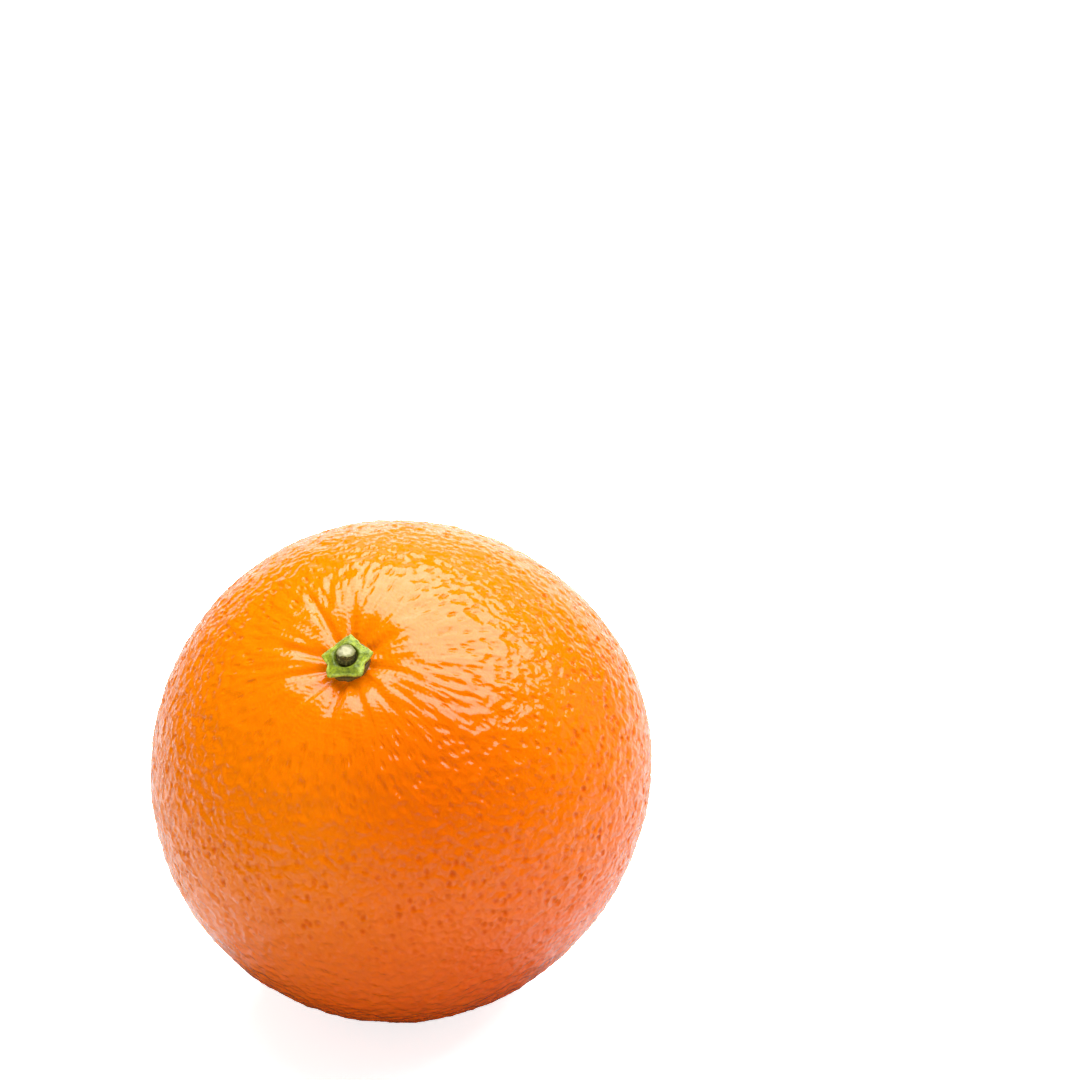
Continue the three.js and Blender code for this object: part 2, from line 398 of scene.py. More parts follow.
def lay_down(graph, mesh):
    """Leans the upright peel over and flattens it where it meets the floor."""
    leaned = {"Geometry": mesh, "Translation": MIDDLE, "Rotation": Euler((STEM_LEAN, 0, 0))}
    lying = graph.node("GeometryNodeTransform", sockets=leaned)
    x, y, z = graph.node("GeometryNodeInputPosition").parts()
    return moved(graph, lying, graph.vector(x, y, z.math("MAXIMUM", 0.0)))


def peel_tree():
    graph, given = new_peel_tree()
    mesh = plain_peel(graph, given)
    outward, relief = peel_relief(graph, given)
    mesh = lay_down(graph, moved(graph, mesh, offset=graph.scaled(outward, relief)))
    mesh = graph.node("GeometryNodeSetShadeSmooth", sockets={"Geometry": mesh})
    mesh = graph.node("GeometryNodeRealizeInstances", sockets={"Geometry": mesh})
    mesh = graph.node("GeometryNodeSetMaterial", sockets={"Geometry": mesh, "Material": given["Finish"]})
    graph.node("NodeGroupOutput", sockets={"Peel": mesh})
    return graph.tree


# %% [markdown]
# ## Colours and finishes
# A finish is a Principled surface. What changes over the surface, such as colour, gloss and fine bump, is
# linked; what is the same all over, such as how far light travels inside, is set on the shader's own
# socket.

# %% Helpers for finishes
def paint(red, green, blue):
    """A screen colour, from 0 to 255, as the linear colour that a shader needs."""
    linear = []
    for value in (red / 255, green / 255, blue / 255):
        linear.append(value / 12.92 if value <= 0.04045 else ((value + 0.055) / 1.055) ** 2.4)
    return (*linear, 1.0)


def new_finish(name):
    material = bpy.data.materials.new(name)
    material.use_nodes = True
    material.node_tree.nodes.clear()
    return material, Graph(material.node_tree)


def close_finish(graph, colour, roughness, height, dull=None, **fixed):
    """Ends a finish.

    height is a relief in metres, and fixed holds the values that are the same all over. Where dull is
    given, it is the share of a second surface that mirrors nothing, from 0 to 1.
    """
    normal = graph.node("ShaderNodeBump", sockets={"Strength": 1.0, "Distance": 1.0, "Height": height})
    sockets = {"Base Color": colour, "Roughness": roughness, "Normal": normal}
    sockets.update({name.replace("_", " "): value for name, value in fixed.items()})
    surface = graph.node("ShaderNodeBsdfPrincipled", sockets=sockets)
    if dull is not None:
        sockets["Specular IOR Level"] = 0.0
        matt = graph.node("ShaderNodeBsdfPrincipled", sockets=sockets)
        surface = graph.node("ShaderNodeMixShader", sockets={0: dull, 1: surface, 2: matt})
    graph.node("ShaderNodeOutputMaterial", sockets={"Surface": surface})


# %% [markdown]
# ## The colour of the peel, with painted light and shade
# Ripe peel is a deep, clear orange, with blotches of a slightly different tone. Light and shade are painted
# over it: the side up towards the light is painted yellower and the side away from it redder, and a broad
# darker, redder patch of painted shade lies below the stem, on the side towards the viewer. A painted
# picture would need a map of the whole peel. Here the direction from the fruit's middle is compared with a
# few chosen directions, so each colour keeps its place from any side.

# %% Painted light and shade on the peel
PEEL_ORANGE = paint(237, 119, 1)
# Painted light and shade: yellower towards the lit side given below, redder away from it.
PEEL_PAINTED_LIGHT = paint(243, 128, 2)
PEEL_PAINTED_SHADE = paint(236, 89, 1)
PAINTED_LIGHT_SIDE = Vector((-0.5, 0.76, 0.42)).normalized()
PAINTED_SHADE_TO_ORANGE = (-1.1, -0.1)
ORANGE_TO_PAINTED_LIGHT = (-0.1, 1.0)
BLOTCH_SHARE = 0.3
# Painted shade: a broad darker, redder patch below the stem, on the side towards the viewer.
PAINTED_SHADE_RED = paint(212, 80, 1)
PAINTED_SHADE_MIDDLE = Vector((0.48, -0.36, 0.8)).normalized()
PAINTED_SHADE_REACH = 0.62
PAINTED_SHADE_SHARE = 0.56


def peel_colour_and_painted_light(graph, outward, blotches):
    """The colour between the glands, with painted light and shade, for a direction from the fruit's middle.
    """
    # Painted light and shade over the blotchy orange, then the patch of painted shade.
    turned = graph.vector_math("DOT_PRODUCT", outward, PAINTED_LIGHT_SIDE, output="Value") + blotches * BLOTCH_SHARE
    colour = graph.mix(turned.step(*PAINTED_SHADE_TO_ORANGE), PEEL_PAINTED_SHADE, PEEL_ORANGE)
    colour = graph.mix(turned.step(*ORANGE_TO_PAINTED_LIGHT), colour, PEEL_PAINTED_LIGHT)
    from_painted_shade = graph.vector_math("DISTANCE", outward, PAINTED_SHADE_MIDDLE, output="Value")
    return graph.mix(hollow(from_painted_shade / PAINTED_SHADE_REACH) * PAINTED_SHADE_SHARE, colour, PAINTED_SHADE_RED)


# %% [markdown]
# ## The dots over the glands
# Each gland shows as a darker, redder dot. Dots of one strength would look printed, so a slow noise makes
# some of them faint. They begin a little way from the stem and fade out towards the floor.

# %% How strongly each dot shows
GLAND_ORANGE = paint(196, 56, 0)
DOT_REACH = 0.47
DOT_ANGLE = (0.25, 0.42)
FAINTEST_DOT = 0.3
FAINT_PATCHES = 0.5
FAINT_TO_CLEAR = (-0.2, 0.25)


def gland_dots(graph, glands, rise, belt):
    """1 in the middle of a dot that shows fully, 0 between the dots."""
    away = rise.math("ARCCOSINE").step(*DOT_ANGLE) * belt
    patches = cobbles(graph, glands, FAINT_PATCHES).step(*FAINT_TO_CLEAR)
    uneven = patches * (1 - FAINTEST_DOT) + FAINTEST_DOT
    return gland_pits(graph, glands, DOT_REACH) * away * uneven


# %% [markdown]
# ## The finish of the peel
# The colour lies under a thin wax. Light goes a little way in, so shadows in the pits stay warm. The wax
# breaks into flecks of light because the peel is cobbled, so the fine relief matters as much as the
# colour: it is strongest on the belt of the fruit and calm at the top. Over the glands the wax is missing.
# A rougher wax there would only look dusty, so the dots mix in a second surface that mirrors nothing.

# %% Wax, fine relief and dots together
UPPER_RISE = (0.45, 0.85)
BELT_LEVEL = (14 * MM, 40 * MM)
RED_LEVEL = (20 * MM, 46 * MM)
CALM_LEVEL = (42 * MM, 62 * MM)
DOT_RED = 0.8
DOT_RED_LESS_ABOVE = 0.7
DOT_DULL = 0.9
DOT_DULL_LESS_ABOVE = 0.3
DOT_DEPTH = 0.18 * MM
FINE_SIZE = 1.2 * MM
FINE_DETAIL = 0.9
FINE_HEIGHT = 0.2 * MM
FINE_MORE_ON_BELT = 0.22 * MM
FINE_LESS_ON_TOP = 0.14 * MM
BLOTCH_SCALE = 0.1
BLOTCH_DETAIL = 3.0
WAX_ROUGHNESS = 0.09
WAX_UNEVENNESS = 0.04


def peel_finish():
    material, graph = new_finish("waxy orange peel")
    place = graph.node("ShaderNodeTexCoord", output="Object")
    upright = graph.node(
        "ShaderNodeMapping",
        {"vector_type": "TEXTURE"},
        {"Vector": place, "Location": MIDDLE, "Rotation": (STEM_LEAN, 0, 0)},
    )
    outward = graph.vector_math("NORMALIZE", upright)
    rise = outward.parts()[2]
    level = place.parts()[2]
    upper = rise.step(*UPPER_RISE)
    belt = level.step(*BELT_LEVEL)
    glands = gland_place(graph, outward)
    blotches = cobbles(graph, glands, BLOTCH_SCALE, BLOTCH_DETAIL)
    dots = gland_dots(graph, glands, rise, belt)
    redder = dots * level.step(*RED_LEVEL) * (DOT_RED - upper * DOT_RED_LESS_ABOVE)
    fine = combed(graph, outward, FINE_SIZE, FINE_DETAIL)
    height = belt * FINE_MORE_ON_BELT - level.step(*CALM_LEVEL) * FINE_LESS_ON_TOP + FINE_HEIGHT
    close_finish(
        graph,
        graph.mix(redder, peel_colour_and_painted_light(graph, outward, blotches), GLAND_ORANGE),
        WAX_ROUGHNESS + blotches * WAX_UNEVENNESS,
        fine * height - dots * DOT_DEPTH,
        dull=dots * (DOT_DULL - upper * DOT_DULL_LESS_ABOVE),
        IOR=1.45,
        Subsurface_Weight=0.12,
        Subsurface_Radius=(1.0, 0.3, 0.05),
        Subsurface_Scale=2 * MM,
    )
    return material


# %% [markdown]
# ## From tree to mesh
# The tree hangs on an empty holder as a modifier. Its named inputs are set through the sockets'
# identifiers, and the evaluated result is copied into a plain mesh. The holder is then removed, so the
# piece keeps no modifier.

# %% Make the peel
def plain_copy(name, source):
    """The evaluated mesh of a modified object, as a new object without modifiers."""
    evaluated = source.evaluated_get(bpy.context.evaluated_depsgraph_get())
    mesh = bpy.data.meshes.new_from_object(evaluated)
    mesh.name = name
    bpy.data.objects.remove(source)
    piece = bpy.data.objects.new(name, mesh)
    bpy.context.scene.collection.objects.link(piece)
    return piece


def make_peel():
    holder = bpy.data.objects.new("peel holder", bpy.data.meshes.new("peel holder"))
    bpy.context.scene.collection.objects.link(holder)
    modifier = holder.modifiers.new("peel shape", "NODES")
    modifier.node_group = peel_tree()
    sizes = {**PEEL_SIZES, "Finish": peel_finish()}
    for socket in modifier.node_group.interface.items_tree:
        if socket.in_out == "INPUT":
            modifier[socket.identifier] = sizes[socket.name]
    return plain_copy("peel", holder)


peel = make_peel()
print(f"peel: {len(peel.data.polygons)} faces, {[round(size / MM, 2) for size in peel.dimensions]} mm")
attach(peel, "root")
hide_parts("fruit")

# %% [markdown]
# ## Turned pieces that are not quite round
# The calyx and the stub are both shaped like something turned on a lathe and then pulled out of true. A
# spin modifier would keep them perfectly round, so their points are worked out ring by ring instead, each
# ring from a rule for its radius and height, and joined with four-sided faces. Each point also keeps a few
# numbers that the finish reads as attributes, such as how near it is to an edge.

# %% A closed mesh from rings
def mesh_from_rings(name, rings, marks, finish):
    """Rings run from the bottom middle out, up and in to the top middle; each is a list of points in order.

    marks holds, for each attribute, one list of values for each ring.
    """
    count = len(rings[0])
    points = [point for ring in rings for point in ring]
    points += [sum(rings[0], Vector()) / count, sum(rings[-1], Vector()) / count]
    low, high = len(points) - 2, len(points) - 1
    top = count * (len(rings) - 1)
    faces = []
    for i in range(count):
        following = (i + 1) % count
        faces.append((low, following, i))
        faces.append((high, top + i, top + following))
        for start in range(0, top, count):
            faces.append((start + i, start + following, start + count + following, start + count + i))
    mesh = bpy.data.meshes.new(name)
    mesh.from_pydata([LAID @ point for point in points], [], faces)
    for mark, values in marks.items():
        flat = [value for ring in values for value in ring]
        flat += [sum(values[0]) / count, sum(values[-1]) / count]
        mesh.attributes.new(mark, "FLOAT", "POINT").data.foreach_set("value", flat)
    mesh.shade_smooth()
    mesh.materials.append(finish)
    piece = bpy.data.objects.new(name, mesh)
    bpy.context.scene.collection.objects.link(piece)
    return piece


# %% Helpers for points on a ring
def bearings_round(segments):
    """Evenly spaced bearings, once round."""
    return [2 * math.pi * i / segments for i in range(segments)]


def at_bearing(bearing, radius, height):
    return Vector((radius * math.cos(bearing), radius * math.sin(bearing), height))


def ripple(bearing, count, layer):
    """Smooth noise round a ring, from about -1 to 1: a higher count gives more ripples."""
    return noise.noise(at_bearing(bearing, count, layer))


def blend(low, high, share):
    """From low at a share of 0 to high at 1."""
    return low + (high - low) * share


def smooth(value, start, end):
    """Rises smoothly from 0 at start to 1 at end."""
    share = min(max((value - start) / (end - start), 0), 1)
    return share * share * (3 - 2 * share)


# %% [markdown]
# ## The calyx
# Five sepals, grown together into a green star, clasp the stalk. Their tips are thin and a little curled,
# a rib runs down the middle of each, and under them a darker corky disc grips the peel. One closed surface
# is enough: it runs from under the disc, out to its edge, back under the sepals, round their edge and over
# to the cup that the stalk stands in.

# %% Sizes of the calyx
CALYX_SEGMENTS = 200
SEPALS = ((26, 1.02), (102, 1.0), (188, 1.0), (244, 1.04), (324, 1.0))
HALF_SEPAL = math.radians(36)
TIP_RADIUS = 3.75 * MM
NOTCH_SHARE = 0.74
DISC_RADIUS = 3.15 * MM
CUP_RADIUS = 1.6 * MM
RIM_RADIUS = 1.95 * MM
SEAT_GAP = 0.3 * MM
DISC_TOP = SEAT_GAP + 0.5 * MM
SEPAL_EDGE = SEAT_GAP + 0.95 * MM
SEPAL_BOTTOM = SEPAL_EDGE - 0.2 * MM
RIM_TOP = SEAT_GAP + 1.7 * MM
WALL_TOP = RIM_TOP - 0.3 * MM
CUP_FLOOR = SEAT_GAP + 0.7 * MM
CALYX_REACH = 4 * MM

seat_dip = PEEL_SIZES["Basin Depth"] * (1 - (CALYX_REACH / PEEL_SIZES["Basin Radius"]) ** 2) ** 2
CALYX_BASE = HALF_HEIGHT * math.sqrt(1 - (CALYX_REACH / FRUIT_RADIUS) ** 2) - seat_dip
print(f"the calyx sits {CALYX_BASE / MM:.2f} mm from the middle of the fruit")

# %% Outline and upper face of the sepals
LOBE_POINT = 1.6
RAGGED_EDGE = 0.035
EDGE_RIPPLES = 5
RIB_WIDTH = 0.22
RIB_HEIGHT = 0.16 * MM
RIB_START = 0.1
FURROW_DEPTH = 0.2 * MM
CURL_START = 0.7
CURL_HEIGHT = 0.12 * MM
TIP_LIFT = 0.1 * MM
FACE_SLOPE = 0.8
GRAIN_SIZE = 0.7 * MM
GRAIN_HEIGHT = 0.07 * MM


def nearest_sepal(bearing):
    """How far a bearing is from the rib of its sepal, -1 or 1 at the notches, and that sepal's length."""
    best = None
    for middle, length in SEPALS:
        turn = (bearing - math.radians(middle) + math.pi) % (2 * math.pi) - math.pi
        if best is None or abs(turn) < abs(best[0]):
            best = (turn, length)
    return best[0] / HALF_SEPAL, best[1]


def sepal_edge(bearing):
    """Radius of the star's edge at a bearing."""
    aside, length = nearest_sepal(bearing)
    lobe = max(0.0, 1 - abs(aside)) ** LOBE_POINT
    ragged = 1 + RAGGED_EDGE * ripple(bearing, EDGE_RIPPLES, 1.5)
    return TIP_RADIUS * blend(NOTCH_SHARE, length, lobe) * ragged


def sepal_top(bearing, radius):
    """Height of the sepals' upper face: high at the cup's rim, ribbed, and curled up at the edge."""
    aside, _ = nearest_sepal(bearing)
    out = smooth(radius, RIM_RADIUS, sepal_edge(bearing))
    along_rib = math.sin(math.pi * min(1, blend(RIB_START, 1, out)))
    rib = math.exp(-((aside / RIB_WIDTH) ** 2)) * RIB_HEIGHT * along_rib
    furrow = abs(aside) ** 3 * FURROW_DEPTH * (1 - out)
    curl = smooth(out, CURL_START, 1.0) * CURL_HEIGHT
    grain = GRAIN_HEIGHT * ripple(bearing, radius / GRAIN_SIZE, 0)
    return blend(RIM_TOP, SEPAL_EDGE + TIP_LIFT, out**FACE_SLOPE) + rib - furrow + curl + grain


# %% Along the disc and the sepals, from the bottom middle to the rim
TUCK_SHARE = 0.86
TUCK_RADIUS = TIP_RADIUS * NOTCH_SHARE * TUCK_SHARE
CORKY_EDGE = 0.05
CORKY_RIPPLES = 4
DISC_UNDERSIDE = (0.3, 0.6, 0.85)
DISC_SIDE = ((1.0, 0.12 * MM), (0.995, 0.3 * MM), (0.96, DISC_TOP - 0.15 * MM))
DISC_SHOULDER = (0.25, 0.6, 0.9)
SHOULDER_LEVEL = DISC_TOP - 0.05 * MM
SEPAL_UNDERSIDE = (0.2, 0.45, 0.7, 0.9)
SEPAL_RIM = (0.1, 0.35, 0.65, 0.9)
EDGE_SWELL = 0.02
FACE_RINGS = 15
FIRST_FACE_RING = 0.6


def disc_points(bearing):
    """Out under the disc, up its side and in to where the sepals leave it.

    Each point has a radius, a height, its nearness to the sepals' edge and its share of disc and painted
    shade.
    """
    disc = DISC_RADIUS * (1 + CORKY_EDGE * ripple(bearing, CORKY_RIPPLES, 8.0))
    points = [(disc * share, 0.0, 0.0, 1.0) for share in DISC_UNDERSIDE]
    points += [(disc * share, height, 0.0, 1.0) for share, height in DISC_SIDE]
    points += [(blend(disc, TUCK_RADIUS, share), SHOULDER_LEVEL, 0.0, 1.0) for share in DISC_SHOULDER]
    return points + [(TUCK_RADIUS, DISC_TOP, 0.3, 0.6)]


def sepal_points(bearing):
    """Out along the underside of the sepals, round their edge, and in over their upper face."""
    edge = sepal_edge(bearing)
    top = sepal_top(bearing, edge)
    points = []
    # The sepals' underside takes a little of the disc's brown as painted shade.
    for share in SEPAL_UNDERSIDE:
        points.append((blend(TUCK_RADIUS, edge, share), blend(DISC_TOP, SEPAL_BOTTOM, share), share, 0.2))
    for share in SEPAL_RIM:
        swell = 1 + EDGE_SWELL * math.sin(math.pi * share)
        points.append((edge * swell, blend(SEPAL_BOTTOM, top, share), 1.0, 0.0))
    for step in range(FACE_RINGS):
        share = 1 - (step + FIRST_FACE_RING) / FACE_RINGS
        radius = blend(RIM_RADIUS, edge, share)
        points.append((radius, sepal_top(bearing, radius), share, 0.0))
    return points


# %% The cup, and the rings of the whole calyx
CUP_LIP = (0.3, 0.6, 0.85, 1.0)
CUP_WALL = (0.35, 0.7, 1.0)
CUP_INSIDE = (0.75, 0.4)
LIP_DROP = 0.2 * MM
LIP_WIDTH = 0.1 * MM


def cup_points():
    """Over the rim, down the wall of the cup and in along its floor, both darkened with painted shade."""
    points = []
    for share in CUP_LIP:
        radius = blend(RIM_RADIUS, CUP_RADIUS + LIP_WIDTH, share)
        points.append((radius, blend(RIM_TOP, RIM_TOP - LIP_DROP, share**2), 0.0, 0.0))
    # Wall and floor of the cup take the disc's brown as painted shade round the stub.
    points += [(CUP_RADIUS, blend(WALL_TOP, CUP_FLOOR, share), 0.0, 0.5) for share in CUP_WALL]
    return points + [(CUP_RADIUS * share, CUP_FLOOR, 0.0, 0.8) for share in CUP_INSIDE]


def make_calyx(finish):
    bearings = bearings_round(CALYX_SEGMENTS)
    profiles = [disc_points(bearing) + sepal_points(bearing) + cup_points() for bearing in bearings]
    rings, near_edge, disc_and_painted_shade = [], [], []
    for row in zip(*profiles):
        ring = []
        for bearing, (radius, height, _, _) in zip(bearings, row):
            ring.append(at_bearing(bearing, radius, CALYX_BASE + height))
        rings.append(ring)
        near_edge.append([point[2] for point in row])
        disc_and_painted_shade.append([point[3] for point in row])
    return mesh_from_rings("calyx_star", rings, {"near_edge": near_edge, "disc_and_painted_shade": disc_and_painted_shade}, finish)


# %% [markdown]
# ## The finish of the calyx
# Sepals are living green tissue. One green would look like plastic, so deeper and paler patches, a painted
# highlight along the edge and olive specks are laid over each other, and the disc takes a corky brown. The
# same brown is painted shade in the cup round the stub and, a little, under the sepals. Edge and disc are
# read from the attributes that the rings left on the mesh.

# %% Sepals, specks, disc, painted highlight and painted shade
SEPAL_GREEN = paint(164, 182, 32)
SEPAL_DEEP = paint(98, 116, 18)
# Painted highlight: a paler colour along the sepals' edge.
SEPAL_PAINTED_HIGHLIGHT = paint(176, 186, 70)
# Corky brown of the disc; in the cup round the stub and under the sepals it is painted shade.
DISC_BROWN_AND_PAINTED_SHADE = paint(96, 80, 28)
SPECK_OLIVE = paint(72, 90, 12)
PATCH_SCALE = 900
PATCH_CONTRAST = 3.0
PATCH_LEVEL = 0.45
PATCH_HEIGHT = 0.12 * MM
SPECK_SCALE = 3200
SPECK_EDGE = (0.0, 0.15)
SPECK_SHARE = 0.5
SPECK_HEIGHT = 0.05 * MM
GREENER_AT_EDGE = 0.3
# Where the painted highlight along the edge begins, and how strongly it shows.
PAINTED_HIGHLIGHT_EDGE = (0.6, 1.0)
PAINTED_HIGHLIGHT_SHARE = 0.4
SEPAL_ROUGHNESS = 0.5
ROUGHER_SPECKS = 0.2


def attribute(graph, name):
    return graph.node("ShaderNodeAttribute", {"attribute_name": name}, output="Fac")


def calyx_finish():
    material, graph = new_finish("green calyx")
    place = graph.node("ShaderNodeTexCoord", output="Object")
    near_edge = attribute(graph, "near_edge")
    patches = cobbles(graph, place, PATCH_SCALE, 3.0)
    specks = cobbles(graph, place, SPECK_SCALE, 2.0)
    green = (patches * PATCH_CONTRAST + PATCH_LEVEL + near_edge * GREENER_AT_EDGE).math("MINIMUM", 1.0)
    colour = graph.mix(green, SEPAL_DEEP, SEPAL_GREEN)
    # Painted highlight along the sepals' edge.
    colour = graph.mix(near_edge.step(*PAINTED_HIGHLIGHT_EDGE) * PAINTED_HIGHLIGHT_SHARE, colour, SEPAL_PAINTED_HIGHLIGHT)
    colour = graph.mix(specks.step(*SPECK_EDGE) * SPECK_SHARE, colour, SPECK_OLIVE)
    close_finish(
        graph,
        # The disc's corky brown, which is painted shade in the cup and under the sepals.
        graph.mix(attribute(graph, "disc_and_painted_shade"), colour, DISC_BROWN_AND_PAINTED_SHADE),
        SEPAL_ROUGHNESS + specks * ROUGHER_SPECKS,
        patches * PATCH_HEIGHT + specks * SPECK_HEIGHT,
        Subsurface_Weight=0.1,
        Subsurface_Radius=(0.6, 1.0, 0.2),
        Subsurface_Scale=0.6 * MM,
    )
    return material


calyx = make_calyx(calyx_finish())
print(f"calyx: {len(calyx.data.polygons)} faces, {[round(size / MM, 2) for size in calyx.dimensions]} mm")
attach(calyx, "root")
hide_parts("calyx")

# %% [markdown]
# ## The stub of the stalk
# The fruit was cut from the tree with clippers, which left a stub that is shorter than it is thick. It
# leans a little in its cup, and its cut slants, is uneven and has lost a chip on one side. A plain
# cylinder would end in a clean circle, so its rings are pulled out of true by three layers of noise: blunt
# corners, fibres and strands.

# %% Sizes and place of the stub
STUB_SEGMENTS = 120
STUB_RADIUS = 1.3 * MM
STUB_LENGTH = 1.6 * MM
STUB_FOOT = 0.3 * MM
STUB_LEAN = math.radians(12)
STUB_BEARING = math.radians(60)
STUB_SLANT = math.tan(math.radians(18))
CHIP_BEARING = math.radians(150)
CHIP_DEPTH = 0.4 * MM
CHIP_EDGE = (0.4, 0.9)

STUB_BASE = CALYX_BASE + CUP_FLOOR + STUB_FOOT + STUB_RADIUS * math.sin(STUB_LEAN)
STUB_TURN = Matrix.Rotation(STUB_BEARING, 4, "Z") @ Matrix.Rotation(STUB_LEAN, 4, "Y")
STUB_PLACE = Matrix.Translation((0, 0, STUB_BASE)) @ STUB_TURN

# %% Side and cut of the stub
WAIST = 0.05
CORNERS = 0.2
CORNER_RIPPLES = 1.4
FIBRES = 0.06
FIBRE_RIPPLES = 3.5
STRANDS = 0.04
STRAND_RIPPLES = 9
SIDE_RINGS = 16
CUT_RINGS = 12
CUT_SPAN = (0.95, 0.05)
CUT_DISH = 0.1 * MM
CUT_ROUGHNESS = 0.1 * MM
CUT_RIPPLES = 3
CHIP_INNER = 0.3
STUB_UNDERSIDE = (0.4, 0.8, 0.95)
FOOT_BEVEL = 0.08 * MM
RIM_BEVEL = 0.1 * MM
RIM_SHARE = 0.985
RIM_DROP = 0.03 * MM


def stub_radius(bearing, height):
    """Fibres run up the side, its corners are blunt, and the stub is thinnest half way up."""
    along = height / STUB_LENGTH
    waist = WAIST * math.sin(math.pi * min(1, along))
    corner = CORNERS * ripple(bearing, CORNER_RIPPLES, 7)
    fibre = FIBRES * ripple(bearing, FIBRE_RIPPLES, along)
    strand = STRANDS * ripple(bearing, STRAND_RIPPLES, 4 + along)
    return STUB_RADIUS * (1 - waist + corner + fibre + strand)


def stub_profile(bearing):
    """Points of the stub at a bearing: radius, height, and 1 on the cut face."""
    top = STUB_LENGTH - CHIP_DEPTH * smooth(math.cos(bearing - CHIP_BEARING), *CHIP_EDGE)
    points = [(STUB_RADIUS * share, -STUB_FOOT, 0.0) for share in STUB_UNDERSIDE]
    for step in range(SIDE_RINGS):
        height = blend(FOOT_BEVEL - STUB_FOOT, top - RIM_BEVEL, step / (SIDE_RINGS - 1))
        points.append((stub_radius(bearing, max(0, height)), height, 0.0))
    rim = stub_radius(bearing, STUB_LENGTH)
    points.append((rim * RIM_SHARE, top - RIM_DROP, 0.4))
    for step in range(CUT_RINGS):
        share = blend(*CUT_SPAN, step / (CUT_RINGS - 1))
        height = blend(STUB_LENGTH, top, smooth(share, CHIP_INNER, 1))
        dish = CUT_DISH * (1 - share**2)
        rough = CUT_ROUGHNESS * ripple(bearing, share * CUT_RIPPLES, 0)
        points.append((rim * share, height - dish + rough, 1.0))
    return points


# %% Rings of the stub
def make_stub(finish):
    bearings = bearings_round(STUB_SEGMENTS)
    rings, cut, from_axis = [], [], []
    for row in zip(*[stub_profile(bearing) for bearing in bearings]):
        ring = []
        for bearing, (radius, height, _) in zip(bearings, row):
            point = at_bearing(bearing, radius, height)
            point.z -= smooth(height, STUB_LENGTH / 2, STUB_LENGTH) * point.x * STUB_SLANT
            ring.append(STUB_PLACE @ point)
        rings.append(ring)
        cut.append([point[2] for point in row])
        from_axis.append([point[0] / STUB_RADIUS for point in row])
    return mesh_from_rings("cut_stub", rings, {"cut_face": cut, "from_axis": from_axis}, finish)


# %% [markdown]
# ## The finish of the stub
# The sides are dull, dark and fibrous. The cut face is pale, with a greener ring under the bark whose
# border is ragged. Both are one material: an attribute says which points lie on the cut, and another how
# far they are from the stalk's axis.

# %% Bark and cut wood
CUT_CREAM = paint(180, 176, 136)
CUT_RING = paint(120, 120, 62)
BARK_OLIVE = paint(150, 146, 76)
BARK_DARK = paint(66, 62, 24)
FIBRE_SCALE = 2600
FIBRE_HEIGHT = 0.1 * MM
DARK_TO_OLIVE = (-0.05, 0.3)
BARK_ROUGHNESS = 0.7
ROUGHER_FIBRES = 0.2
RING_SCALE = 700
RING_STRAY = 0.9
CREAM_TO_RING = (0.45, 0.95)


def stub_finish():
    material, graph = new_finish("cut stalk")
    place = graph.node("ShaderNodeTexCoord", output="Object")
    fibres = cobbles(graph, place, FIBRE_SCALE, 3.0)
    bark = graph.mix(fibres.step(*DARK_TO_OLIVE), BARK_DARK, BARK_OLIVE)
    from_axis = attribute(graph, "from_axis") + cobbles(graph, place, RING_SCALE, 2.0) * RING_STRAY
    wood = graph.mix(from_axis.step(*CREAM_TO_RING), CUT_CREAM, CUT_RING)
    colour = graph.mix(attribute(graph, "cut_face"), bark, wood)
    close_finish(graph, colour, BARK_ROUGHNESS + fibres * ROUGHER_FIBRES, fibres * FIBRE_HEIGHT)
    return material


stub = make_stub(stub_finish())
print(f"stub: {len(stub.data.polygons)} faces, {[round(size / MM, 2) for size in stub.dimensions]} mm")
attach(stub, "root")
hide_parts("stem_stub")

# %% [markdown]
# ## The floor
# The fruit lies on a plain white floor. A floor that is lit until it looks white would be mirrored too
# strongly by the wax. So a Light Path node tells the camera's own rays from all others: to the camera the
# floor is pale and glows a little, which also keeps the shadow faint, and to the peel it is much darker.

# %% Make the floor
FLOOR_HALF = 30.0
FLOOR_SEEN = (0.95, 0.95, 0.95, 1)
FLOOR_MIRRORED = (0.12, 0.12, 0.12, 1)
FLOOR_GLOW = 0.76
WHITE = (1, 1, 1, 1)
BLACK = (0, 0, 0, 1)


def make_floor():
    mesh = bpy.data.meshes.new("floor")
    corners = [(-1, -1), (1, -1), (1, 1), (-1, 1)]
    mesh.from_pydata([(x * FLOOR_HALF, y * FLOOR_HALF, 0) for x, y in corners], [], [(0, 1, 2, 3)])
    material, graph = new_finish("white floor")
    seen = graph.node("ShaderNodeLightPath", output="Is Camera Ray")
    sockets = {
        "Base Color": graph.mix(seen, FLOOR_MIRRORED, FLOOR_SEEN),
        "Roughness": 0.9,
        "Specular IOR Level": 0.0,
        "Emission Color": graph.mix(seen, BLACK, WHITE),
        "Emission Strength": FLOOR_GLOW,
    }
    surface = graph.node("ShaderNodeBsdfPrincipled", sockets=sockets)
    graph.node("ShaderNodeOutputMaterial", sockets={"Surface": surface})
    mesh.materials.append(material)
    floor = bpy.data.objects.new("floor", mesh)
    bpy.context.scene.collection.objects.link(floor)
    return floor


floor = make_floor()
print("floor:", [round(size, 1) for size in floor.dimensions], "m")

# %% [markdown]
# ## The camera
# The camera stands to the right of the fruit's front and well above it, as the photograph was taken. The
# fruit is not in the middle of that picture. Shifting the lens would put it there, but any other view
# would keep the shift. So the camera is turned instead, without tilting the horizon, until the fruit's
# middle falls on its pixel.

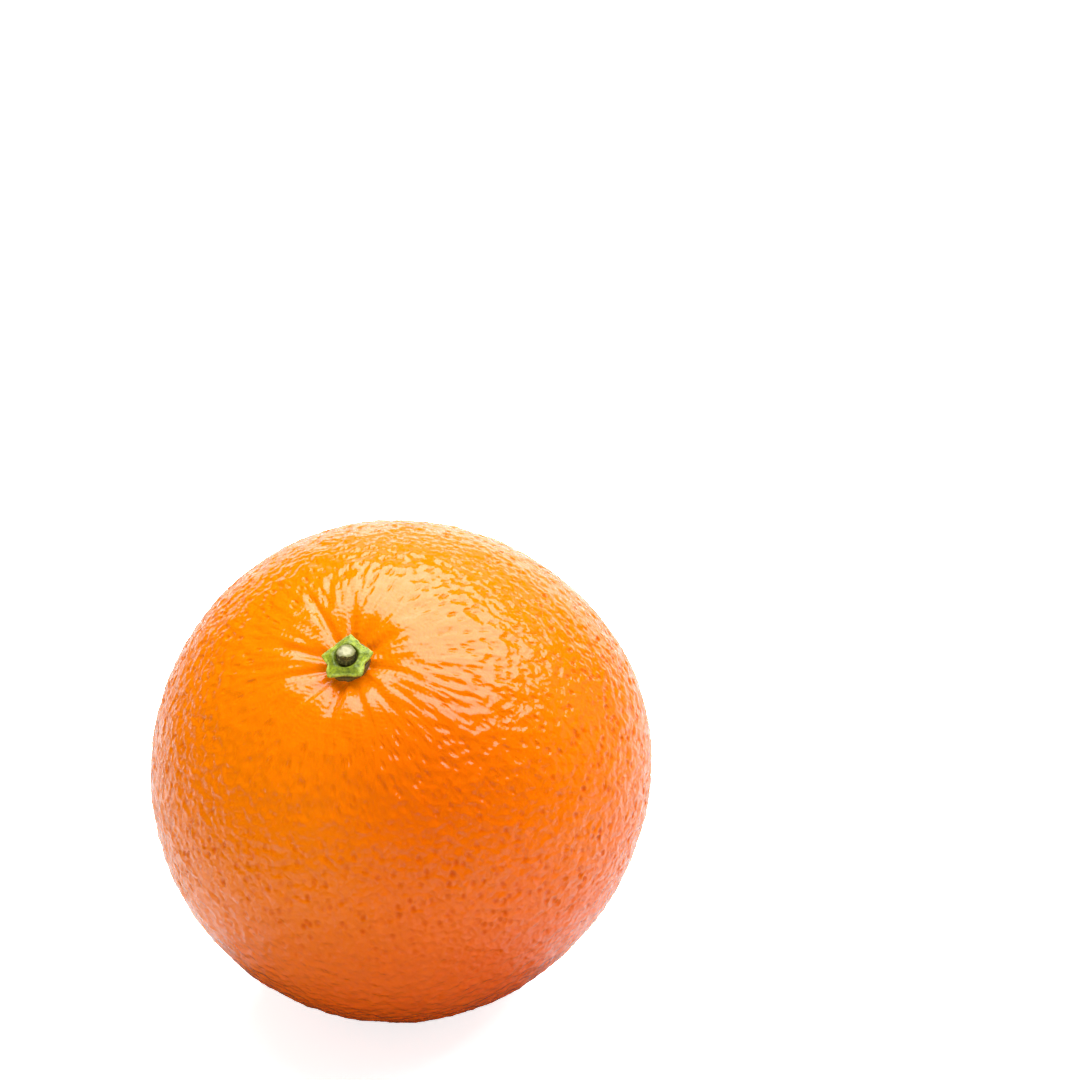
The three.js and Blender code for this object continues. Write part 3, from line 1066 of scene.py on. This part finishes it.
# %% A level camera at the viewing angle of the photograph
VIEW_AZIMUTH = math.radians(24)
VIEW_ELEVATION = math.radians(38)
VIEW_DISTANCE = 0.412
LENS = 90
SENSOR = 36
IMAGE_SIDE = 1080
FRUIT_PIXEL = (400.2, 767.4)


def look_from(azimuth, elevation):
    """The direction from the fruit to a place round it; an azimuth of 0 is straight in front."""
    ahead = math.cos(elevation)
    return Vector((math.sin(azimuth) * ahead, -math.cos(azimuth) * ahead, math.sin(elevation)))


def make_camera():
    """A level camera that shows the fruit's middle at a pixel of the image."""
    data = bpy.data.cameras.new("camera")
    data.lens = LENS
    data.sensor_width = SENSOR
    data.clip_start = 0.01
    towards = -look_from(VIEW_AZIMUTH, VIEW_ELEVATION)
    right = (FRUIT_PIXEL[0] / IMAGE_SIDE - 0.5) * SENSOR / LENS
    up = (0.5 - FRUIT_PIXEL[1] / IMAGE_SIDE) * SENSOR / LENS
    seen = Vector((right, up, -1)).normalized()
    pitch = math.asin(towards.z / math.hypot(seen.y, seen.z)) - math.atan2(seen.z, seen.y)
    tipped = Matrix.Rotation(pitch, 3, "X") @ seen
    yaw = math.atan2(towards.y, towards.x) - math.atan2(tipped.y, tipped.x)
    camera = bpy.data.objects.new("camera", data)
    camera.location = MIDDLE - towards * VIEW_DISTANCE
    camera.rotation_euler = (pitch, 0, yaw)
    bpy.context.scene.collection.objects.link(camera)
    bpy.context.scene.camera = camera
    return camera


camera = make_camera()
print("camera at", [round(value, 3) for value in camera.location])

# %% [markdown]
# ## The light
# Waxy peel mirrors what is round it, so the lights are large soft panels. The softbox overhead makes the
# broad highlight, and a smaller panel before it, which gives a reflection but no light, brightens the
# middle of that. Low cards round the fruit draw a pale edge along its outline. The fills lift the shaded
# side without showing as reflections, and light linking keeps them to the fruit. The wash and the lamp are
# kept to the floor, so that the peel mirrors a bright floor along its edges and a dim one in the middle.

# %% Soft panels
def light_group(name, *members):
    """A set of objects that a light may be kept to."""
    group = bpy.data.collections.new(name)
    for member in members:
        group.objects.link(member)
    return group


def soft_panel(name, place, size, power, mirrored=True, shading=True, only=None, spread=180, aside=0.0):
    """A rectangular soft light that looks at the fruit.

    place is its azimuth from the viewer's and its elevation, in degrees, and its distance; aside moves it to
    the viewer's right. mirrored says whether it shows as a reflection, and shading whether it gives light.
    """
    azimuth, elevation, distance = place
    data = bpy.data.lights.new(name, "AREA")
    data.shape = "RECTANGLE"
    data.size, data.size_y = size
    data.energy = power
    data.spread = math.radians(spread)
    panel = bpy.data.objects.new(name, data)
    direction = look_from(VIEW_AZIMUTH + math.radians(azimuth), math.radians(elevation))
    across = Vector((math.cos(VIEW_AZIMUTH), math.sin(VIEW_AZIMUTH), 0))
    panel.location = MIDDLE + direction * distance + across * aside
    panel.rotation_euler = direction.to_track_quat("Z", "Y").to_euler()
    panel.visible_camera = False
    panel.visible_glossy = mirrored
    panel.visible_diffuse = shading
    panel.light_linking.receiver_collection = only
    bpy.context.scene.collection.objects.link(panel)
    return panel


# %% Softbox and cards, which the wax mirrors
soft_panel("softbox", (146, 70, 0.65), (1.05, 0.7), 10.0)
soft_panel("softbox shine", (146, 70, 0.64), (0.76, 0.56), 2.1, shading=False)
soft_panel("back card", (162, 12, 1.2), (1.4, 0.6), 1.4)
soft_panel("low back card", (172, 2, 0.36), (0.6, 0.1), 0.25)
soft_panel("right card", (100, 12, 1.2), (0.7, 0.6), 0.36)
soft_panel("front card", (10, 3.5, 1.2), (1.6, 0.15), 0.25)

# %% Fills that only the fruit receives, and lamps that only the floor receives
to_fruit = {"mirrored": False, "only": light_group("lit by the fills", peel, calyx, stub)}
to_floor = {"mirrored": False, "only": light_group("lit by the lamps", floor)}
soft_panel("front fill", (-30, 4, 1.0), (1.2, 0.9), 7.5, **to_fruit)
soft_panel("side fill", (70, 4, 1.0), (0.8, 0.6), 2.4, **to_fruit)
soft_panel("top fill", (180, 45, 1.0), (0.8, 0.8), 0.4, **to_fruit)
soft_panel("floor wash", (170, 33, 0.6), (0.25, 0.3), 7.4, spread=60, **to_floor)
soft_panel("floor lamp", (180, 78, 0.35), (1.2, 1.6), 10.0, spread=50, aside=0.47, **to_floor)
panels = [thing.name for thing in bpy.context.scene.objects if thing.type == "LIGHT"]
print("soft panels:", panels)

# %% [markdown]
# ## The surroundings
# A white studio lights the fruit a little from everywhere. If the wax mirrored it as well, the deep orange
# of the middle would turn grey, so the world is hidden from glossy rays.

# %% Pale surroundings that the wax does not mirror
FILL_LEVEL = 0.36


def make_surroundings():
    world = bpy.data.worlds.new("studio")
    world.use_nodes = True
    world.node_tree.nodes.clear()
    graph = Graph(world.node_tree)
    background = graph.node("ShaderNodeBackground", sockets={"Color": WHITE, "Strength": FILL_LEVEL})
    graph.node("ShaderNodeOutputWorld", sockets={"Surface": background})
    bpy.context.scene.world = world
    world.cycles_visibility.glossy = False


make_surroundings()
bpy.context.scene.view_settings.view_transform = "Standard"
